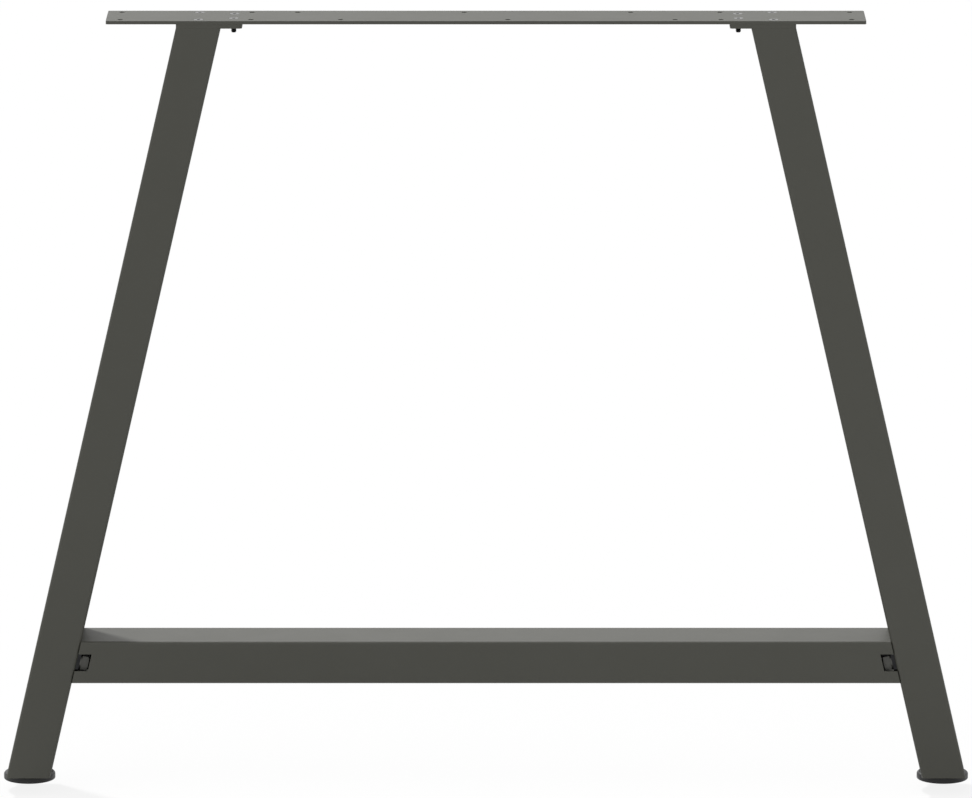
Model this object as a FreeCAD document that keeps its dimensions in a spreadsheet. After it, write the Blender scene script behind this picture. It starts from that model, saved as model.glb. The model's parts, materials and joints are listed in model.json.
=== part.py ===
import FreeCAD, Part
import Sketcher
import math
import os

# A-shaped leg for a dining table: two slanted steel tubes carry a flat top plate,
# a low crossbar ties them together, and each tube stands on a screw-in levelling foot.
# X runs across the table, Y along it and Z up. The origin is on the floor, midway between the feet.

doc = FreeCAD.newDocument("TrestleTableLeg")
sheet = doc.addObject("Spreadsheet::Sheet", "sizes")

# Driving dimensions, in millimetres and degrees
SIZES = [
    ("overall_width", 900, "over both foot pads"),
    ("overall_height", 720, "floor to the plate's top, feet screwed right in"),
    ("leg_slant", 13, "degrees between a leg and the vertical"),
    ("tube_width", 40, "leg tube, seen from the front"),
    ("frame_depth", 60, "tubes, top plate and flanges, front to back"),
    ("tube_wall", 1.5, "leg and crossbar tube"),
    ("tube_corner", 3, "outer corner radius of both tubes"),
    ("plate_overhang", 64, "top plate beyond the legs' outer edges"),
    ("plate_thickness", 3, "top plate"),
    ("plate_corner", 2, "corner radius of the top plate"),
    ("screw_hole", 5, "diameter of the holes for the table top's screws"),
    ("screw_row_inset", 9, "screw rows, from the plate's long edges"),
    ("end_hole_inset", 13, "end screw holes, from the plate's ends"),
    ("inner_hole_gap", 8, "inner screw holes, from the flanges' ends"),
    ("pair_gap", 62, "outer staggered pairs of screw holes, from the inner screw holes"),
    ("pair_stagger", 20, "each hole of a pair, from the pair's centre"),
    ("flange_thickness", 4, "flange on the leg's top"),
    ("flange_reach", 19.5, "flange beyond the tube's inner edge"),
    ("flange_corner", 3, "corner radius of the flange"),
    ("bolt_diameter", 5, "countersunk bolts through plate and flange"),
    ("bolt_length", 13, "plate's top to the bolt's tip"),
    ("bolt_head", 9.6, "diameter of the countersunk head"),
    ("bolt_socket", 3, "hex socket across flats"),
    ("bolt_socket_depth", 1.8, "hex socket in the head"),
    ("bolt_play", 0.2, "radial room round a bolt in the plate"),
    ("outer_bolt_inset", 9, "bolts over the tube, from the plate's long edges"),
    ("inner_bolt_inset", 17, "bolts beside the tube, from the plate's long edges"),
    ("inner_bolt_end", 8, "bolts beside the tube, from the flange's end"),
    ("thread_play", 0.05, "radial room between a thread and its nut"),
    ("crossbar_bottom", 97.5, "height of the crossbar's underside"),
    ("crossbar_height", 40, "crossbar tube"),
    ("window_length", 12, "spanner window, from the crossbar's end"),
    ("window_height", 16, "spanner window"),
    ("end_plate_thickness", 3, "plate inside each end of the crossbar"),
    ("end_plate_gap", 2.5, "end plate to the crossbar's front and back walls"),
    ("joint_stud", 8, "diameter of the studs that hold the crossbar"),
    ("joint_stud_length", 13, "from the leg's inner face"),
    ("joint_stud_inset", 7.7, "studs, from the end plate's front and back edges"),
    ("joint_stud_play", 0.3, "radial room round a stud in the end plate"),
    ("washer_diameter", 15, "crossbar washers"),
    ("washer_thickness", 1.6, "crossbar washers"),
    ("joint_nut_flats", 13, "square crossbar nuts, across flats"),
    ("joint_nut_height", 6.5, "crossbar nuts"),
    ("foot_diameter", 48, "levelling foot pad"),
    ("foot_thickness", 6.7, "levelling foot pad"),
    ("foot_upper_edge", 2.4, "softened upper rim of the pad"),
    ("foot_lower_edge", 1.2, "softened lower rim of the pad"),
    ("foot_gap", 0.3, "pad to the tube's end, screwed right in"),
    ("foot_plate_thickness", 3, "plate inside the tube's lower end"),
    ("weld_fit", 0.1, "lower plate to the tube's inner walls"),
    ("foot_stud", 8, "diameter of the foot's stud"),
    ("foot_stud_length", 30, "from its seat in the pad"),
    ("foot_stud_seat", 2.5, "pad left under the stud"),
    ("foot_stud_tip", 1.2, "height of the tapered tip"),
    ("foot_stud_play", 0.5, "radial room round the stud in the lower plate"),
    ("foot_nut_flats", 13, "weld nut across flats"),
    ("foot_nut_height", 6.5, "weld nut"),
]
for row, (alias, value, note) in enumerate(SIZES, 1):
    sheet.set(f"A{row}", str(value))
    sheet.setAlias(f"A{row}", alias)
    sheet.set(f"B{row}", note)
doc.recompute()

# Measures that follow from the driving dimensions
LEG_BOTTOM = "(sizes.foot_thickness + sizes.foot_gap)"
PLATE_BOTTOM = "(sizes.overall_height - sizes.plate_thickness)"
LEG_TOP = f"({PLATE_BOTTOM} - sizes.flange_thickness)"
FOOT_X = "((sizes.overall_width - sizes.foot_diameter) / 2)"
HALF_CUT = "(sizes.tube_width / 2 / cos(sizes.leg_slant))"
CROSSBAR_TOP = "(sizes.crossbar_bottom + sizes.crossbar_height)"
CROSSBAR_MIDDLE = "(sizes.crossbar_bottom + sizes.crossbar_height / 2)"


def leg_centre(height):
    """X of the right leg's centre line at a height."""
    return f"({FOOT_X} - ({height} - {LEG_BOTTOM}) * tan(sizes.leg_slant))"


def leg_inner(height):
    """X of the right leg's inner face at a height."""
    return f"({leg_centre(height)} - {HALF_CUT})"


def leg_outer(height):
    """X of the right leg's outer face at a height."""
    return f"({leg_centre(height)} + {HALF_CUT})"


PLATE_END = f"({leg_outer(LEG_TOP)} + sizes.plate_overhang)"
PLATE_EDGE = "(sizes.frame_depth / 2)"
FLANGE_END = f"({leg_inner(LEG_TOP)} - sizes.flange_reach)"
OUTER_BOLT_X = leg_centre(LEG_TOP)
INNER_BOLT_X = f"({FLANGE_END} + sizes.inner_bolt_end)"
END_PLATE_DEPTH = "(sizes.frame_depth - 2 * (sizes.tube_wall + sizes.end_plate_gap))"
JOINT_STUD_Y = f"({END_PLATE_DEPTH} / 2 - sizes.joint_stud_inset)"
LEG_AXIS = FreeCAD.Vector(-math.tan(math.radians(sheet.leg_slant)), 0, 1)
AXIS_X = FreeCAD.Vector(1, 0, 0)
AXIS_Y = FreeCAD.Vector(0, 1, 0)
AXIS_Z = FreeCAD.Vector(0, 0, 1)
SIDES = (("right", 1), ("left", -1))


# Drawing helpers

def draw_on(body, name, role, lift="0"):
    """An empty sketch on one of the body's own origin planes, lifted along the plane's normal."""
    plane = next(p for p in body.Origin.OriginFeatures if p.Role == role)
    sketch = body.newObject("Sketcher::SketchObject", name)
    sketch.AttachmentSupport = [(plane, "")]
    sketch.MapMode = "FlatFace"
    sketch.setExpression("AttachmentOffset.Base.z", lift)
    return sketch


def place_point(sketch, geometry, point, across, up):
    """Ties a point of the sketch to its two distances from the origin."""
    for kind, distance in (("DistanceX", across), ("DistanceY", up)):
        index = sketch.addConstraint(Sketcher.Constraint(kind, -1, 1, geometry, point, 1.0))
        sketch.setExpression(f"Constraints[{index}]", distance)


def draw_polygon(sketch, corners):
    """A closed outline through corners, each a pair of expressions."""
    count = len(corners)
    turn = 2 * math.pi / count
    rough = [FreeCAD.Vector(math.cos(turn * i), math.sin(turn * i), 0) for i in range(count)]
    first = sketch.GeometryCount
    for i in range(count):
        sketch.addGeometry(Part.LineSegment(rough[i], rough[(i + 1) % count]), False)
    for i, (across, up) in enumerate(corners):
        before = first + (i - 1) % count
        sketch.addConstraint(Sketcher.Constraint("Coincident", before, 2, first + i, 1))
        place_point(sketch, first + i, 1, across, up)


def draw_circles(sketch, centres, diameter):
    """Equal circles round centres, each a pair of expressions."""
    for across, up in centres:
        circle = sketch.addGeometry(Part.Circle(FreeCAD.Vector(0, 0, 0), AXIS_Z, 1.0), False)
        place_point(sketch, circle, 3, across, up)
        index = sketch.addConstraint(Sketcher.Constraint("Diameter", circle, 2.0))
        sketch.setExpression(f"Constraints[{index}]", diameter)


# Feature helpers

def new_body(label):
    body = doc.addObject("PartDesign::Body", label)
    body.Label = label
    return body


def pad(body, sketch, length, side="One side"):
    feature = body.newObject("PartDesign::Pad", f"{body.Label}_pad")
    feature.Profile = sketch
    feature.SideType = side
    feature.setExpression("Length", length)
    doc.recompute()
    return feature


def pocket_through(body, sketch):
    """Cuts the sketch through the whole body, both ways from its plane."""
    before = body.Tip.Shape.Volume
    feature = body.newObject("PartDesign::Pocket", f"{sketch.Name}_cut")
    feature.Profile = sketch
    feature.SideType = "Symmetric"
    feature.Type = "ThroughAll"
    doc.recompute()
    if feature.Shape.Volume >= before:
        raise ValueError(f"{sketch.Name} cuts nothing")
    return feature


def edges_along(shape, direction):
    """Names of the straight edges that run along a direction."""
    names = []
    for index, edge in enumerate(shape.Edges, 1):
        if edge.tangentAt(edge.FirstParameter).cross(direction).Length < 1e-6:
            names.append(f"Edge{index}")
    return names


def fillet(body, edges, radius):
    base = body.Tip
    feature = body.newObject("PartDesign::Fillet", f"{body.Label}_round")
    feature.Base = (base, edges)
    feature.setExpression("Radius", radius)
    doc.recompute()
    return feature


def hollow(body, end_faces):
    """Leaves a tube of the wall's thickness, open at the named faces."""
    base = body.Tip
    feature = body.newObject("PartDesign::Thickness", f"{body.Label}_shell")
    feature.Base = (base, end_faces)
    feature.Reversed = True
    feature.Join = "Intersection"
    feature.setExpression("Value", "sizes.tube_wall")
    doc.recompute()
    return feature


def faces_towards(shape, direction):
    """Names of the flat faces square to a direction."""
    names = []
    for index, face in enumerate(shape.Faces, 1):
        flat = isinstance(face.Surface, Part.Plane)
        if flat and face.normalAt(0, 0).cross(direction).Length < 1e-6:
            names.append(f"Face{index}")
    return names


def primitive(kind, name, at, **sizes):
    """A Part primitive whose place and sizes are expressions."""
    shape = doc.addObject(f"Part::{kind}", name)
    for axis, distance in zip("xyz", at):
        shape.setExpression(f"Placement.Base.{axis}", distance)
    for size, expression in sizes.items():
        shape.setExpression(size, expression)
    return shape


def cut(name, base, tool):
    result = doc.addObject("Part::Cut", name)
    result.Base = base
    result.Tool = tool
    return result


def fuse(name, shapes):
    result = doc.addObject("Part::MultiFuse", name)
    result.Shapes = shapes
    return result


def group(label, shapes):
    """Several separate solids as one sub-part."""
    result = doc.addObject("Part::Compound", label)
    result.Label = label
    result.Links = shapes
    return result


def turn_to_side(body, sign):
    """The left leg's pieces are the right leg's, turned half round."""
    if sign < 0:
        body.Placement = FreeCAD.Placement(FreeCAD.Vector(), FreeCAD.Rotation(AXIS_Z, 180))


def lay_along_stud(shape, sign):
    """Turns a shape that stands on Z to point out of the leg's inner face."""
    angle = "270 - sizes.leg_slant" if sign > 0 else "90 + sizes.leg_slant"
    shape.Placement.Rotation = FreeCAD.Rotation(AXIS_Y, 90)
    shape.setExpression("Placement.Rotation.Angle", angle)


def on_joint(sign, along, across):
    """A point at a distance along a stud from the leg's inner face, and across from the middle line."""
    x = f"{sign} * ({leg_inner(CROSSBAR_MIDDLE)} - {along} * cos(sizes.leg_slant))"
    z = f"{CROSSBAR_MIDDLE} - {along} * sin(sizes.leg_slant)"
    return x, across, z


# Sub-parts

def make_top_plate():
    """Flat steel strip with countersunk holes for the flange bolts and plain ones for screws."""
    body = new_body("top_plate")
    outline = draw_on(body, "plate_outline", "XY_Plane", PLATE_BOTTOM)
    draw_polygon(outline, [
        (f"-{PLATE_END}", f"-{PLATE_EDGE}"),
        (PLATE_END, f"-{PLATE_EDGE}"),
        (PLATE_END, PLATE_EDGE),
        (f"-{PLATE_END}", PLATE_EDGE),
    ])
    slab = pad(body, outline, "sizes.plate_thickness")
    fillet(body, edges_along(slab.Shape, AXIS_Z), "sizes.plate_corner")

    row = f"({PLATE_EDGE} - sizes.screw_row_inset)"
    end_hole = f"({PLATE_END} - sizes.end_hole_inset)"
    inner_hole = f"({FLANGE_END} - sizes.inner_hole_gap)"
    centres = []
    for x in (end_hole, inner_hole):
        centres += [(f"{sx} * {x}", f"{sy} * {row}") for sx in (-1, 1) for sy in (-1, 1)]
    for pair in (-1, 0, 1):
        middle = f"{pair} * ({inner_hole} - sizes.pair_gap)"
        centres += [(f"{middle} - {s} * sizes.pair_stagger", f"{s} * {row}") for s in (-1, 1)]
    screws = draw_on(body, "plate_screw_holes", "XY_Plane")
    draw_circles(screws, centres, "sizes.screw_hole")
    pocket_through(body, screws)

    bolts = draw_on(body, "plate_bolt_holes", "XY_Plane", "sizes.overall_height")
    centres = [(f"{sign} * {x}", y) for _, sign in SIDES for x, y in bolt_places()]
    draw_circles(bolts, centres, "sizes.bolt_diameter + 2 * sizes.bolt_play")
    doc.recompute()
    before = body.Tip.Shape.Volume
    holes = body.newObject("PartDesign::Hole", "plate_countersinks")
    holes.Profile = bolts
    holes.DepthType = "ThroughAll"
    holes.setExpression("Diameter", "sizes.bolt_diameter + 2 * sizes.bolt_play")
    holes.HoleCutType = "Countersink"
    holes.HoleCutCustomValues = True
    holes.HoleCutCountersinkAngle = 90
    holes.setExpression("HoleCutDiameter", "sizes.bolt_head + 2 * sizes.bolt_play")
    doc.recompute()
    if holes.Shape.Volume >= before:
        raise ValueError("the countersinks cut nothing")
    return body


def bolt_places():
    """The four bolts of the right flange: two over the tube and two beside it."""
    rows = ((OUTER_BOLT_X, "sizes.outer_bolt_inset"), (INNER_BOLT_X, "sizes.inner_bolt_inset"))
    return [(x, f"{s} * ({PLATE_EDGE} - {inset})") for x, inset in rows for s in (-1, 1)]


def make_leg_tube(side, sign):
    """Rectangular tube with rounded corners, both ends cut level."""
    body = new_body(f"{side}_leg_tube")
    outline = draw_on(body, f"{side}_leg_outline", "XZ_Plane")
    draw_polygon(outline, [
        (leg_inner(LEG_BOTTOM), LEG_BOTTOM),
        (leg_outer(LEG_BOTTOM), LEG_BOTTOM),
        (leg_outer(LEG_TOP), LEG_TOP),
        (leg_inner(LEG_TOP), LEG_TOP),
    ])
    block = pad(body, outline, "sizes.frame_depth", "Symmetric")
    rounded = fillet(body, edges_along(block.Shape, LEG_AXIS), "sizes.tube_corner")
    hollow(body, faces_towards(rounded.Shape, AXIS_Z))
    turn_to_side(body, sign)
    return body


def make_top_flange(side, sign):
    """Flat plate welded on the tube's upper end, tapped for the four bolts."""
    body = new_body(f"{side}_top_flange")
    outline = draw_on(body, f"{side}_flange_outline", "XY_Plane", LEG_TOP)
    draw_polygon(outline, [
        (FLANGE_END, f"-{PLATE_EDGE}"),
        (leg_outer(LEG_TOP), f"-{PLATE_EDGE}"),
        (leg_outer(LEG_TOP), PLATE_EDGE),
        (FLANGE_END, PLATE_EDGE),
    ])
    slab = pad(body, outline, "sizes.flange_thickness")
    fillet(body, edges_along(slab.Shape, AXIS_Z), "sizes.flange_corner")
    holes = draw_on(body, f"{side}_flange_holes", "XY_Plane")
    draw_circles(holes, bolt_places(), "sizes.bolt_diameter + 2 * sizes.thread_play")
    pocket_through(body, holes)
    turn_to_side(body, sign)
    return body


def make_flange_bolts(side, sign):
    """Countersunk bolts with a hex socket, flush with the plate's top."""
    radius = "sizes.bolt_diameter / 2"
    head_height = "(sizes.bolt_head - sizes.bolt_diameter) / 2"
    bolts = []
    for number, (x, y) in enumerate(bolt_places(), 1):
        name = f"{side}_flange_bolt_{number}"
        x = f"{sign} * {x}"
        head = primitive(
            "Cone", f"{name}_head", (x, y, f"sizes.overall_height - {head_height}"),
            Radius1=radius, Radius2="sizes.bolt_head / 2", Height=head_height)
        shank = primitive(
            "Cylinder", f"{name}_shank", (x, y, "sizes.overall_height - sizes.bolt_length"),
            Radius=radius, Height=f"sizes.bolt_length - {head_height}")
        socket = primitive(
            "Prism", f"{name}_socket", (x, y, "sizes.overall_height - sizes.bolt_socket_depth"),
            Circumradius="sizes.bolt_socket / 2 / cos(30)", Height="sizes.bolt_socket_depth")
        socket.Polygon = 6
        bolts.append(cut(name, fuse(f"{name}_solid", [head, shank]), socket))
    return group(f"{side}_flange_bolts", bolts)


def make_crossbar_tube():
    """Level tube between the legs, its ends cut to their slant, with spanner windows front and back."""
    body = new_body("crossbar_tube")
    low = "sizes.crossbar_bottom"
    outline = draw_on(body, "crossbar_outline", "XZ_Plane")
    draw_polygon(outline, [
        (f"-{leg_inner(low)}", low),
        (leg_inner(low), low),
        (leg_inner(CROSSBAR_TOP), CROSSBAR_TOP),
        (f"-{leg_inner(CROSSBAR_TOP)}", CROSSBAR_TOP),
    ])
    block = pad(body, outline, "sizes.frame_depth", "Symmetric")
    rounded = fillet(body, edges_along(block.Shape, AXIS_X), "sizes.tube_corner")
    ends = []
    for _, sign in SIDES:
        normal = FreeCAD.Vector(sign, 0, math.tan(math.radians(sheet.leg_slant))).normalize()
        ends += faces_towards(rounded.Shape, normal)
    hollow(body, ends)

    windows = draw_on(body, "crossbar_windows", "XZ_Plane")
    sill = f"({CROSSBAR_MIDDLE} - sizes.window_height / 2)"
    lintel = f"({CROSSBAR_MIDDLE} + sizes.window_height / 2)"
    reach = "sizes.window_length / cos(sizes.leg_slant)"
    for _, sign in SIDES:
        draw_polygon(windows, [
            (f"{sign} * ({leg_inner(sill)} - {reach})", sill),
            (f"{sign} * ({leg_inner(sill)} + {reach})", sill),
            (f"{sign} * ({leg_inner(lintel)} + {reach})", lintel),
            (f"{sign} * ({leg_inner(lintel)} - {reach})", lintel),
        ])
    pocket_through(body, windows)
    return body


def make_crossbar_end_plate(side, sign):
    """Plate welded inside the crossbar's end, drilled for the two studs."""
    body = new_body(f"{side}_crossbar_end_plate")
    half = "(sizes.crossbar_height / 2 - sizes.tube_wall)"
    thickness = "sizes.end_plate_thickness"
    skew = f"{-sign} * {thickness} * sin(sizes.leg_slant)"
    outline = draw_on(body, f"{side}_end_plate_outline", "XZ_Plane")
    draw_polygon(outline, [
        ("0", f"-{half} / cos(sizes.leg_slant)"),
        (thickness, f"(-{half} + {skew}) / cos(sizes.leg_slant)"),
        (thickness, f"({half} + {skew}) / cos(sizes.leg_slant)"),
        ("0", f"{half} / cos(sizes.leg_slant)"),
    ])
    pad(body, outline, END_PLATE_DEPTH, "Symmetric")
    holes = draw_on(body, f"{side}_end_plate_holes", "YZ_Plane")
    centres = [(f"{s} * {JOINT_STUD_Y}", "0") for s in (-1, 1)]
    draw_circles(holes, centres, "sizes.joint_stud + 2 * sizes.joint_stud_play")
    pocket_through(body, holes)
    body.Placement.Rotation = FreeCAD.Rotation(AXIS_Y, 90)
    angle = "180 - sizes.leg_slant" if sign > 0 else "sizes.leg_slant"
    body.setExpression("Placement.Rotation.Angle", angle)
    for axis, distance in zip("xyz", on_joint(sign, "0", "0")):
        body.setExpression(f"Placement.Base.{axis}", distance)
    return body


def make_crossbar_studs(side, sign):
    """Threaded studs welded square to the leg's inner face."""
    studs = []
    for s in (-1, 1):
        name = f"{side}_crossbar_stud_{'front' if s < 0 else 'back'}"
        stud = primitive(
            "Cylinder", name, on_joint(sign, "0", f"{s} * {JOINT_STUD_Y}"),
            Radius="sizes.joint_stud / 2", Height="sizes.joint_stud_length")
        lay_along_stud(stud, sign)
        studs.append(stud)
    return group(f"{side}_crossbar_studs", studs)


def make_crossbar_washers(side, sign):
    washers = []
    for s in (-1, 1):
        name = f"{side}_crossbar_washer_{'front' if s < 0 else 'back'}"
        at = on_joint(sign, "sizes.end_plate_thickness", f"{s} * {JOINT_STUD_Y}")
        disc = primitive(
            "Cylinder", f"{name}_disc", at,
            Radius="sizes.washer_diameter / 2", Height="sizes.washer_thickness")
        bore = primitive(
            "Cylinder", f"{name}_bore", at,
            Radius="sizes.joint_stud / 2 + sizes.joint_stud_play", Height="sizes.washer_thickness")
        lay_along_stud(disc, sign)
        lay_along_stud(bore, sign)
        washers.append(cut(name, disc, bore))
    return group(f"{side}_crossbar_washers", washers)


def make_crossbar_nuts(side, sign):
    """Square nuts, each with a flat towards its window."""
    nuts = []
    seat = "(sizes.end_plate_thickness + sizes.washer_thickness)"
    for s in (-1, 1):
        name = f"{side}_crossbar_nut_{'front' if s < 0 else 'back'}"
        at = on_joint(sign, seat, f"{s} * {JOINT_STUD_Y}")
        x, y, z = at
        half = "sizes.joint_nut_flats / 2"
        corner = (
            f"{x} + {half} * sin(sizes.leg_slant)",
            f"{y} - {half}",
            f"{z} - {sign} * {half} * cos(sizes.leg_slant)",
        )
        block = primitive(
            "Box", f"{name}_block", corner,
            Length="sizes.joint_nut_flats", Width="sizes.joint_nut_flats", Height="sizes.joint_nut_height")
        bore = primitive(
            "Cylinder", f"{name}_bore", at,
            Radius="sizes.joint_stud / 2 + sizes.thread_play", Height="sizes.joint_nut_height")
        lay_along_stud(block, sign)
        lay_along_stud(bore, sign)
        nuts.append(cut(name, block, bore))
    return group(f"{side}_crossbar_nuts", nuts)


def make_foot_end_plate(side, sign):
    """Plate welded inside the tube's lower end, drilled for the foot's stud."""
    body = new_body(f"{side}_foot_end_plate")
    upper = f"({LEG_BOTTOM} + sizes.foot_plate_thickness)"
    inset = "(sizes.tube_wall + sizes.weld_fit) / cos(sizes.leg_slant)"
    outline = draw_on(body, f"{side}_foot_plate_outline", "XZ_Plane")
    draw_polygon(outline, [
        (f"{leg_inner(LEG_BOTTOM)} + {inset}", LEG_BOTTOM),
        (f"{leg_outer(LEG_BOTTOM)} - {inset}", LEG_BOTTOM),
        (f"{leg_outer(upper)} - {inset}", upper),
        (f"{leg_inner(upper)} + {inset}", upper),
    ])
    block = pad(body, outline, "sizes.frame_depth - 2 * (sizes.tube_wall + sizes.weld_fit)", "Symmetric")
    fillet(body, edges_along(block.Shape, LEG_AXIS), "sizes.tube_corner - sizes.tube_wall")
    hole = draw_on(body, f"{side}_foot_plate_hole", "XY_Plane")
    draw_circles(hole, [(FOOT_X, "0")], "sizes.foot_stud + 2 * sizes.foot_stud_play")
    pocket_through(body, hole)
    turn_to_side(body, sign)
    return body


def make_foot_nut(side, sign):
    """Hex nut welded on the lower plate, in which the foot's stud turns."""
    at = (f"{sign} * {FOOT_X}", "0", f"{LEG_BOTTOM} + sizes.foot_plate_thickness")
    hexagon = primitive(
        "Prism", f"{side}_foot_nut_hexagon", at,
        Circumradius="sizes.foot_nut_flats / 2 / cos(30)", Height="sizes.foot_nut_height")
    hexagon.Polygon = 6
    bore = primitive(
        "Cylinder", f"{side}_foot_nut_bore", at,
        Radius="sizes.foot_stud / 2 + sizes.thread_play", Height="sizes.foot_nut_height")
    nut = cut(f"{side}_foot_nut", hexagon, bore)
    nut.Label = f"{side}_foot_nut"
    return nut


def make_foot_stud(side, sign):
    """Threaded stud of the levelling foot, standing in the pad."""
    x = f"{sign} * {FOOT_X}"
    straight = "(sizes.foot_stud_length - sizes.foot_stud_tip)"
    shank = primitive(
        "Cylinder", f"{side}_foot_stud_shank", (x, "0", "sizes.foot_stud_seat"),
        Radius="sizes.foot_stud / 2", Height=straight)
    tip = primitive(
        "Cone", f"{side}_foot_stud_tip", (x, "0", f"sizes.foot_stud_seat + {straight}"),
        Radius1="sizes.foot_stud / 2", Radius2="sizes.foot_stud / 2 - sizes.foot_stud_tip",
        Height="sizes.foot_stud_tip")
    stud = fuse(f"{side}_foot_stud", [shank, tip])
    stud.Label = f"{side}_foot_stud"
    return stud


def make_foot_pad(side, sign):
    """Round plastic pad with softened rims, moulded round the stud's end."""
    body = new_body(f"{side}_foot_pad")
    rim = "sizes.foot_diameter / 2"
    upper = "sizes.foot_thickness"
    edge = "sizes.foot_upper_edge"
    bulge = f"{edge} * (1 - cos(45))"
    socket = "(sizes.foot_stud / 2 + sizes.thread_play)"
    profile = draw_on(body, f"{side}_pad_profile", "XZ_Plane")
    draw_polygon(profile, [
        ("0", "0"),
        (f"{rim} - sizes.foot_lower_edge", "0"),
        (rim, "sizes.foot_lower_edge"),
        (rim, f"{upper} - {edge}"),
        (f"{rim} - {bulge}", f"{upper} - {bulge}"),
        (f"{rim} - {edge}", upper),
        (socket, upper),
        (socket, "sizes.foot_stud_seat"),
        ("0", "sizes.foot_stud_seat"),
    ])
    turned = body.newObject("PartDesign::Revolution", f"{side}_pad_turned")
    turned.Profile = profile
    turned.ReferenceAxis = (profile, ["V_Axis"])
    turned.Angle = 360
    body.setExpression("Placement.Base.x", f"{sign} * {FOOT_X}")
    return body


sub_parts = [make_top_plate(), make_crossbar_tube()]
for side, sign in SIDES:
    sub_parts += [
        make_leg_tube(side, sign),
        make_top_flange(side, sign),
        make_flange_bolts(side, sign),
        make_crossbar_end_plate(side, sign),
        make_crossbar_studs(side, sign),
        make_crossbar_washers(side, sign),
        make_crossbar_nuts(side, sign),
        make_foot_end_plate(side, sign),
        make_foot_nut(side, sign),
        make_foot_stud(side, sign),
        make_foot_pad(side, sign),
    ]
doc.recompute()

# Nothing is written unless every object was made and every sub-part is sound
for item in doc.Objects:
    if "Invalid" in item.State or "Error" in item.State:
        raise RuntimeError(f"{item.Name} failed: {item.State}")
for part in sub_parts:
    if part.Shape.isNull() or not part.Shape.isValid():
        raise RuntimeError(f"{part.Label} has no sound shape")

os.makedirs("parts", exist_ok=True)
for part in sub_parts:
    part.Shape.exportStep(f"parts/{part.Label}.step")
    solids = len(part.Shape.Solids)
    print(f"{part.Label}: {solids} solid, {part.Shape.Volume:.1f} mm3")
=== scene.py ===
import json
import math

import bmesh
import bpy
from mathutils import Matrix, Vector


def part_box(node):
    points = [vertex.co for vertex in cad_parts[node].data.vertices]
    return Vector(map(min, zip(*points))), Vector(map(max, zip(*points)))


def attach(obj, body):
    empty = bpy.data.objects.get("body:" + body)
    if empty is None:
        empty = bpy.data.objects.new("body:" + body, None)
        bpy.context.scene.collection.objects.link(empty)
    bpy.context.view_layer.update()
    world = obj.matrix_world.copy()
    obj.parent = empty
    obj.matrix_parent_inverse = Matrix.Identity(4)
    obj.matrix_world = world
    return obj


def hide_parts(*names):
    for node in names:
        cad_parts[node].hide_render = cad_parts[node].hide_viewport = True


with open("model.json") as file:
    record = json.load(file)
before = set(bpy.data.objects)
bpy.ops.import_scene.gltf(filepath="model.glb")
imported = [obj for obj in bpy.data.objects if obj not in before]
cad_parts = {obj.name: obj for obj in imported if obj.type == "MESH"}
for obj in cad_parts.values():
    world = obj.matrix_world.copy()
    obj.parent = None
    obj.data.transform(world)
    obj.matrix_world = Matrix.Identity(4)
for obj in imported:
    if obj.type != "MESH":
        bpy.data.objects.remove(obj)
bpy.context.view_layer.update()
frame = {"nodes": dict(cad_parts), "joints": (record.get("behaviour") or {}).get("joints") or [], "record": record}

# Looks for a powder-coated A-shaped table leg. The solids from the CAD keep their shapes and get
# procedural materials. Threads, chamfered nuts and the feet's rounded rims are added here.
# Lengths are in metres.

MM = 0.001
SIDES = ("left", "right")

# The photograph's frame and the camera that looks at it
IMAGE_WIDTH = 972
SENSOR_WIDTH = 36.0
FOCAL_PIXELS = 8707
CAMERA_DISTANCE = 7.889
CAMERA_HEIGHT = 1.995
CAMERA_PITCH = math.radians(11.7)

# Sizes that the added pieces share with the CAD
LEG_SLANT = math.radians(13)
BOLT_RADIUS = 2.5 * MM
BOLT_SOCKET_FLATS = 3 * MM
BOLT_SOCKET_DEPTH = 1.8 * MM
STUD_RADIUS = 4 * MM
JOINT_STUD_LENGTH = 13 * MM
JOINT_NUT_FLATS = 13 * MM
JOINT_NUT_HEIGHT = 6.5 * MM
FOOT_STUD_SEAT = 2.5 * MM
FOOT_UPPER_EDGE = 2.4 * MM
FOOT_LOWER_EDGE = 1.2 * MM

# Fine forms that only the scene has
BOLT_PITCH = 0.8 * MM
STUD_PITCH = 1.25 * MM
THREAD_DEPTH = 0.6            # of the pitch
THREAD_FLANK = 1.6            # steepness of a thread's flanks
THREAD_ROOT = 0.3             # lowers the ridge, which leaves a flat root
THREAD_STEPS = 8              # rows of points for each turn
EDGE_BREAK = 0.15 * MM        # broken edge of a bolt's head and socket
NUT_CHAMFER = math.radians(15)
PLAY = 0.05 * MM              # between a thread and what holds it
ROUND = 48                    # points round an axis, a multiple of six and eight
ARC_STEPS = 8                 # points along a rounded rim
SHARP_ANGLE = math.radians(35)


# Points round the Z axis

def angles():
    return [2 * math.pi * i / ROUND for i in range(ROUND)]


def circle(radius, height):
    return [Vector((radius * math.cos(a), radius * math.sin(a), height)) for a in angles()]


def hexagon(flats, height):
    """A ring with six flats and a corner on the X axis."""
    sixth = math.pi / 3
    ring = []
    for a in angles():
        radius = flats / 2 / math.cos(a % sixth - sixth / 2)
        ring.append(Vector((radius * math.cos(a), radius * math.sin(a), height)))
    return ring


def square(flats, height, chamfer=0):
    """A ring with four flats, square to X and Y. A chamfer lowers the parts beyond the flats' circle."""
    quarter_turn = math.pi / 2
    ring = []
    for a in angles():
        radius = flats / 2 / math.cos((a + quarter_turn / 2) % quarter_turn - quarter_turn / 2)
        drop = (radius - flats / 2) * math.tan(chamfer)
        ring.append(Vector((radius * math.cos(a), radius * math.sin(a), height - drop)))
    return ring


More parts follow.
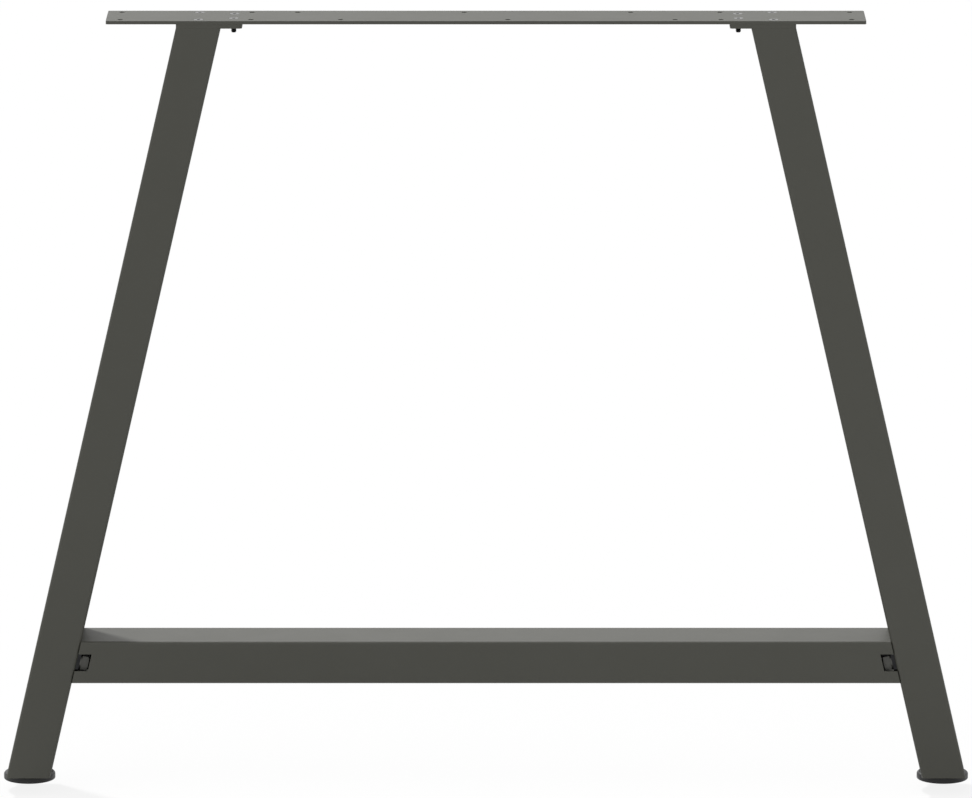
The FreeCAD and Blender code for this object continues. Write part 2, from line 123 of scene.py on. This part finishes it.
def thread(radius, pitch, start, end):
    """Rings of a screw thread between two heights, with flat crests and roots."""
    count = max(2, round(abs(end - start) / pitch * THREAD_STEPS))
    rings = []
    for i in range(count + 1):
        height = start + (end - start) * i / count
        ring = []
        for a in angles():
            phase = (height / pitch - a / (2 * math.pi)) % 1
            ridge = min(1, max(0, THREAD_FLANK * abs(2 * phase - 1) - THREAD_ROOT))
            reach = radius - THREAD_DEPTH * pitch * (1 - ridge)
            ring.append(Vector((reach * math.cos(a), reach * math.sin(a), height)))
        rings.append(ring)
    return rings


def quarter(radius, height, edge, start, turn):
    """Rings along a rounded rim: a quarter turn about a centre ring, from a start angle."""
    rings = []
    for i in range(ARC_STEPS + 1):
        a = start + turn * i / ARC_STEPS
        rings.append(circle(radius + edge * math.cos(a), height + edge * math.sin(a)))
    return rings


# Meshes

def skin(mesh, rings, place, closed=False):
    """Joins each ring to the next, and caps the ends or joins the last ring to the first."""
    points = [[mesh.verts.new(place @ point) for point in ring] for ring in rings]
    pairs = list(zip(points, points[1:]))
    if closed:
        pairs.append((points[-1], points[0]))
    else:
        mesh.faces.new(points[0])
        mesh.faces.new(points[-1])
    for lower, upper in pairs:
        for i in range(ROUND):
            j = (i + 1) % ROUND
            mesh.faces.new((lower[i], lower[j], upper[j], upper[i]))


def finish_piece(mesh, name, node, body, slot):
    """Turns the mesh into a piece that stands for a CAD node and rides on its body."""
    bmesh.ops.recalc_face_normals(mesh, faces=mesh.faces)
    data = bpy.data.meshes.new(name)
    mesh.to_mesh(data)
    mesh.free()
    data.shade_smooth()
    data.set_sharp_from_angle(angle=SHARP_ANGLE)
    data.materials.append(MATERIALS[slot])
    piece = bpy.data.objects.new(name, data)
    bpy.context.scene.collection.objects.link(piece)
    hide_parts(node)
    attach(piece, body)


def solids_of(node):
    """The box of each separate solid of a CAD node."""
    mesh = bmesh.new()
    mesh.from_mesh(frame["nodes"][node].data)
    bmesh.ops.remove_doubles(mesh, verts=mesh.verts, dist=1e-6)
    left = set(mesh.verts)
    boxes = []
    while left:
        found = [left.pop()]
        points = []
        while found:
            vertex = found.pop()
            points.append(vertex.co.copy())
            near = [edge.other_vert(vertex) for edge in vertex.link_edges]
            fresh = [other for other in near if other in left]
            left.difference_update(fresh)
            found += fresh
        low = Vector(min(p[i] for p in points) for i in range(3))
        high = Vector(max(p[i] for p in points) for i in range(3))
        boxes.append((low, high))
    mesh.free()
    return sorted(boxes, key=lambda box: tuple(box[0]))


def along_stud(centre, side):
    """A place whose Z axis points out of the leg's inner face, along the crossbar's studs."""
    inwards = 1 if side == "left" else -1
    out = Vector((inwards * math.cos(LEG_SLANT), 0, -math.sin(LEG_SLANT)))
    back = Vector((0, 1, 0))
    turn = Matrix((back.cross(out), back, out)).transposed().to_4x4()
    return Matrix.Translation(centre) @ turn


# Materials

def new_material(name):
    material = bpy.data.materials.new(name)
    material.use_nodes = True
    tree = material.node_tree
    shader = tree.nodes["Principled BSDF"]
    place = tree.nodes.new("ShaderNodeTexCoord").outputs["Object"]
    return material, tree, shader, place


def noise(tree, place, scale, detail):
    texture = tree.nodes.new("ShaderNodeTexNoise")
    texture.inputs["Scale"].default_value = scale
    texture.inputs["Detail"].default_value = detail
    tree.links.new(place, texture.inputs["Vector"])
    return texture.outputs["Fac"]


def vary_roughness(tree, shader, pattern, low, high):
    spread = tree.nodes.new("ShaderNodeMapRange")
    spread.inputs["To Min"].default_value = low
    spread.inputs["To Max"].default_value = high
    tree.links.new(pattern, spread.inputs["Value"])
    tree.links.new(spread.outputs["Result"], shader.inputs["Roughness"])


def vary_colour(tree, shader, pattern, dark, light):
    ramp = tree.nodes.new("ShaderNodeValToRGB")
    ramp.color_ramp.elements[0].color = (*dark, 1)
    ramp.color_ramp.elements[1].color = (*light, 1)
    tree.links.new(pattern, ramp.inputs["Fac"])
    tree.links.new(ramp.outputs["Color"], shader.inputs["Base Color"])


def add_relief(tree, shader, pattern, height, edge_radius=0):
    """Bumps the surface by a pattern, over edges that look rounded where a radius is given."""
    bump = tree.nodes.new("ShaderNodeBump")
    bump.inputs["Distance"].default_value = height
    tree.links.new(pattern, bump.inputs["Height"])
    if edge_radius:
        bevel = tree.nodes.new("ShaderNodeBevel")
        bevel.inputs["Radius"].default_value = edge_radius
        tree.links.new(bevel.outputs["Normal"], bump.inputs["Normal"])
    tree.links.new(bump.outputs["Normal"], shader.inputs["Normal"])


def make_powder_coat():
    """Dark grey powder coat: satin, with the faint orange peel of a baked finish."""
    material, tree, shader, place = new_material("powder_coat")
    vary_colour(tree, shader, noise(tree, place, 9, 3), (0.054, 0.054, 0.042), (0.060, 0.060, 0.048))
    vary_roughness(tree, shader, noise(tree, place, 30, 4), 0.48, 0.58)
    add_relief(tree, shader, noise(tree, place, 700, 2), 0.01 * MM, 0.5 * MM)
    return material


def make_black_steel():
    """Blackened steel with a thin oil sheen. On the crossbar's end plates its near-black colour is painted shade,
    darkening the gap beside each leg.
    """
    material, tree, shader, place = new_material("black_steel")
    shader.inputs["Metallic"].default_value = 1
    vary_colour(tree, shader, noise(tree, place, 400, 3), (0.016, 0.016, 0.017), (0.030, 0.030, 0.031))
    vary_roughness(tree, shader, noise(tree, place, 900, 3), 0.10, 0.18)
    add_relief(tree, shader, noise(tree, place, 2500, 2), 0.005 * MM)
    return material


def make_dark_zinc():
    """Dull dark zinc plating, close to the coat's grey."""
    material, tree, shader, place = new_material("dark_zinc")
    shader.inputs["Metallic"].default_value = 0.3
    vary_colour(tree, shader, noise(tree, place, 300, 3), (0.064, 0.064, 0.056), (0.094, 0.094, 0.084))
    vary_roughness(tree, shader, noise(tree, place, 700, 3), 0.42, 0.55)
    add_relief(tree, shader, noise(tree, place, 2500, 2), 0.01 * MM, 0.2 * MM)
    return material


def make_plated_steel():
    """Zinc-plated steel, slightly cloudy."""
    material, tree, shader, place = new_material("plated_steel")
    shader.inputs["Metallic"].default_value = 1
    vary_colour(tree, shader, noise(tree, place, 250, 3), (0.46, 0.46, 0.47), (0.62, 0.62, 0.62))
    vary_roughness(tree, shader, noise(tree, place, 600, 3), 0.28, 0.42)
    add_relief(tree, shader, noise(tree, place, 3000, 2), 0.01 * MM, 0.2 * MM)
    return material


def make_black_plastic():
    """Black moulded plastic with a fine grain."""
    material, tree, shader, place = new_material("black_plastic")
    shader.inputs["Specular IOR Level"].default_value = 0.3
    vary_colour(tree, shader, noise(tree, place, 60, 3), (0.012, 0.012, 0.012), (0.020, 0.020, 0.020))
    vary_roughness(tree, shader, noise(tree, place, 200, 3), 0.36, 0.50)
    add_relief(tree, shader, noise(tree, place, 1800, 2), 0.03 * MM)
    return material


MATERIALS = {
    "powder_coat": make_powder_coat(),
    "black_steel": make_black_steel(),
    "dark_zinc": make_dark_zinc(),
    "plated_steel": make_plated_steel(),
    "black_plastic": make_black_plastic(),
}


def dress_cad_nodes():
    """Gives every solid from the CAD the material of its slot in the record."""
    for part in frame["record"]["subparts"]:
        data = frame["nodes"][part["node"]].data
        data.materials.clear()
        # Where the black_steel slot falls on the crossbar's end plates, its near-black colour is painted shade for
        # the gap beside each leg.
        data.materials.append(MATERIALS[part["material_slot"]])


# Pieces

def make_bolts(side):
    """Countersunk bolts with a hex socket and a thread, in place of the plain ones."""
    node = f"{side}_flange_bolts"
    mesh = bmesh.new()
    for low, high in solids_of(node):
        head = (high.x - low.x) / 2
        length = high.z - low.z
        neck = BOLT_RADIUS - head
        rings = [
            hexagon(BOLT_SOCKET_FLATS, -BOLT_SOCKET_DEPTH),
            hexagon(BOLT_SOCKET_FLATS, -EDGE_BREAK),
            hexagon(BOLT_SOCKET_FLATS + 2 * EDGE_BREAK, 0),
            circle(head - 2 * EDGE_BREAK, 0),
            circle(head - EDGE_BREAK, -EDGE_BREAK),
            circle(BOLT_RADIUS, neck),
        ]
        rings += thread(BOLT_RADIUS, BOLT_PITCH, neck - EDGE_BREAK, BOLT_PITCH - length)
        rings.append(circle(BOLT_RADIUS - BOLT_PITCH, -length))
        top = Vector(((low.x + high.x) / 2, (low.y + high.y) / 2, high.z))
        skin(mesh, rings, Matrix.Translation(top))
    finish_piece(mesh, f"{side}_threaded_bolts", node, "frame", "black_steel")


def stud_rings(length):
    """A threaded stud that stands on Z, with both ends tapered."""
    taper = THREAD_DEPTH * STUD_PITCH
    rings = [circle(STUD_RADIUS - taper, 0)]
    rings += thread(STUD_RADIUS, STUD_PITCH, taper, length - 2 * taper)
    rings.append(circle(STUD_RADIUS - 2 * taper, length))
    return rings


def make_joint_studs(side):
    node = f"{side}_crossbar_studs"
    mesh = bmesh.new()
    foot = Matrix.Translation((0, 0, -JOINT_STUD_LENGTH / 2))
    for low, high in solids_of(node):
        place = along_stud((low + high) / 2, side) @ foot
        skin(mesh, stud_rings(JOINT_STUD_LENGTH), place)
    finish_piece(mesh, f"{side}_threaded_studs", node, "frame", "black_steel")


def make_joint_nuts(side):
    """Square nuts with the outer corners chamfered."""
    node = f"{side}_crossbar_nuts"
    bore = STUD_RADIUS + PLAY
    half = JOINT_NUT_HEIGHT / 2
    rings = [
        circle(bore, -half),
        square(JOINT_NUT_FLATS, -half),
        square(JOINT_NUT_FLATS, half, NUT_CHAMFER),
        circle(JOINT_NUT_FLATS / 2 - EDGE_BREAK, half),
        circle(bore, half),
    ]
    mesh = bmesh.new()
    for low, high in solids_of(node):
        skin(mesh, rings, along_stud((low + high) / 2, side), closed=True)
    finish_piece(mesh, f"{side}_chamfered_nuts", node, "frame", "dark_zinc")


def make_foot_stud(side):
    node = f"{side}_foot_stud"
    low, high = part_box(node)
    mesh = bmesh.new()
    place = Matrix.Translation(((low.x + high.x) / 2, (low.y + high.y) / 2, low.z))
    skin(mesh, stud_rings(high.z - low.z), place)
    finish_piece(mesh, f"{side}_threaded_foot_stud", node, f"{side}_foot", "plated_steel")


def make_foot_pad(side):
    """Round pad with rounded rims, and the socket that holds the stud."""
    node = f"{side}_foot_pad"
    low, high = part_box(node)
    radius = (high.x - low.x) / 2
    thickness = high.z - low.z
    socket = STUD_RADIUS + PLAY
    right_angle = math.pi / 2
    rings = [circle(socket, FOOT_STUD_SEAT), circle(socket, thickness)]
    rings += quarter(
        radius - FOOT_UPPER_EDGE, thickness - FOOT_UPPER_EDGE, FOOT_UPPER_EDGE, right_angle, -right_angle)
    rings += quarter(radius - FOOT_LOWER_EDGE, FOOT_LOWER_EDGE, FOOT_LOWER_EDGE, 0, -right_angle)
    mesh = bmesh.new()
    skin(mesh, rings, Matrix.Translation(((low.x + high.x) / 2, (low.y + high.y) / 2, low.z)))
    finish_piece(mesh, f"{side}_rounded_pad", node, f"{side}_foot", "black_plastic")


# Stage, light and camera

FLOOR_SIZE = 60
FLOOR_COLOUR = (0.97, 0.97, 0.97)
FLOOR_CLEARANCE = 0.2 * MM    # below the feet at their lowest
FLOOR_WHITE_SHARE = 0.86      # of the floor that the camera sees as plain white
WORLD_LIGHT = 0.36
KEY_STRENGTH = 0.35
KEY_SOFTNESS = math.radians(50)
KEY_TILT = (math.radians(38), 0, math.radians(-30))
BACK_STRENGTH = 2.45
BACK_SOFTNESS = math.radians(9)
BACK_TILT = (math.radians(40), 0, math.radians(211))


def background_rays(tree):
    """1 for the rays that show the background: those from the camera, from gloss and through glass."""
    path = tree.nodes.new("ShaderNodeLightPath")
    either = path.outputs["Is Camera Ray"]
    for kind in ("Is Glossy Ray", "Is Transmission Ray"):
        larger = tree.nodes.new("ShaderNodeMath")
        larger.operation = "MAXIMUM"
        tree.links.new(either, larger.inputs[0])
        tree.links.new(path.outputs[kind], larger.inputs[1])
        either = larger.outputs["Value"]
    return either


def make_floor():
    """Pale floor below the feet at their lowest. Seen from below it is clear."""
    travel = max(joint["range_m"][1] for joint in frame["joints"])
    bpy.ops.mesh.primitive_plane_add(size=FLOOR_SIZE, location=(0, 0, -travel - FLOOR_CLEARANCE))
    floor = bpy.context.object
    floor.name = "floor"
    material = bpy.data.materials.new("pale_floor")
    material.use_nodes = True
    tree = material.node_tree
    tree.nodes.clear()
    matt = tree.nodes.new("ShaderNodeBsdfDiffuse")
    matt.inputs["Color"].default_value = (*FLOOR_COLOUR, 1)
    white = tree.nodes.new("ShaderNodeEmission")
    mostly_white = tree.nodes.new("ShaderNodeMixShader")
    mostly_white.inputs["Fac"].default_value = FLOOR_WHITE_SHARE
    tree.links.new(matt.outputs["BSDF"], mostly_white.inputs[1])
    tree.links.new(white.outputs["Emission"], mostly_white.inputs[2])
    seen = tree.nodes.new("ShaderNodeMixShader")
    tree.links.new(background_rays(tree), seen.inputs["Fac"])
    tree.links.new(matt.outputs["BSDF"], seen.inputs[1])
    tree.links.new(mostly_white.outputs["Shader"], seen.inputs[2])
    clear = tree.nodes.new("ShaderNodeBsdfTransparent")
    side = tree.nodes.new("ShaderNodeNewGeometry")
    from_above = tree.nodes.new("ShaderNodeMixShader")
    tree.links.new(side.outputs["Backfacing"], from_above.inputs["Fac"])
    tree.links.new(seen.outputs["Shader"], from_above.inputs[1])
    tree.links.new(clear.outputs["BSDF"], from_above.inputs[2])
    output = tree.nodes.new("ShaderNodeOutputMaterial")
    tree.links.new(from_above.outputs["Shader"], output.inputs["Surface"])
    floor.data.materials.append(material)


def make_world():
    """Even light from all round, and plain white behind the object."""
    world = bpy.data.worlds.new("studio")
    bpy.context.scene.world = world
    world.use_nodes = True
    tree = world.node_tree
    tree.nodes.clear()
    light = tree.nodes.new("ShaderNodeBackground")
    light.inputs["Color"].default_value = (1, 1, 1, 1)
    light.inputs["Strength"].default_value = WORLD_LIGHT
    white = tree.nodes.new("ShaderNodeBackground")
    white.inputs["Color"].default_value = (1, 1, 1, 1)
    seen = tree.nodes.new("ShaderNodeMixShader")
    tree.links.new(background_rays(tree), seen.inputs["Fac"])
    tree.links.new(light.outputs["Background"], seen.inputs[1])
    tree.links.new(white.outputs["Background"], seen.inputs[2])
    output = tree.nodes.new("ShaderNodeOutputWorld")
    tree.links.new(seen.outputs["Shader"], output.inputs["Surface"])


def make_lamp(name, strength, softness, tilt):
    light = bpy.data.lights.new(name, "SUN")
    light.energy = strength
    light.angle = softness
    lamp = bpy.data.objects.new(name, light)
    lamp.rotation_euler = tilt
    bpy.context.scene.collection.objects.link(lamp)


def make_lamps():
    """Two lamps from above on the left: a large soft one in front, and one behind with firmer shadows."""
    make_lamp("key", KEY_STRENGTH, KEY_SOFTNESS, KEY_TILT)
    make_lamp("back", BACK_STRENGTH, BACK_SOFTNESS, BACK_TILT)


def make_camera():
    data = bpy.data.cameras.new("camera")
    data.sensor_width = SENSOR_WIDTH
    data.lens = FOCAL_PIXELS * SENSOR_WIDTH / IMAGE_WIDTH
    camera = bpy.data.objects.new("camera", data)
    camera.location = (0, -CAMERA_DISTANCE, CAMERA_HEIGHT)
    camera.rotation_euler = (math.pi / 2 - CAMERA_PITCH, 0, 0)
    bpy.context.scene.collection.objects.link(camera)
    bpy.context.scene.camera = camera


dress_cad_nodes()
for side in SIDES:
    make_bolts(side)
    make_joint_studs(side)
    make_joint_nuts(side)
    make_foot_stud(side)
    make_foot_pad(side)
make_floor()
make_world()
make_lamps()
make_camera()
bpy.context.scene.view_settings.view_transform = "Standard"
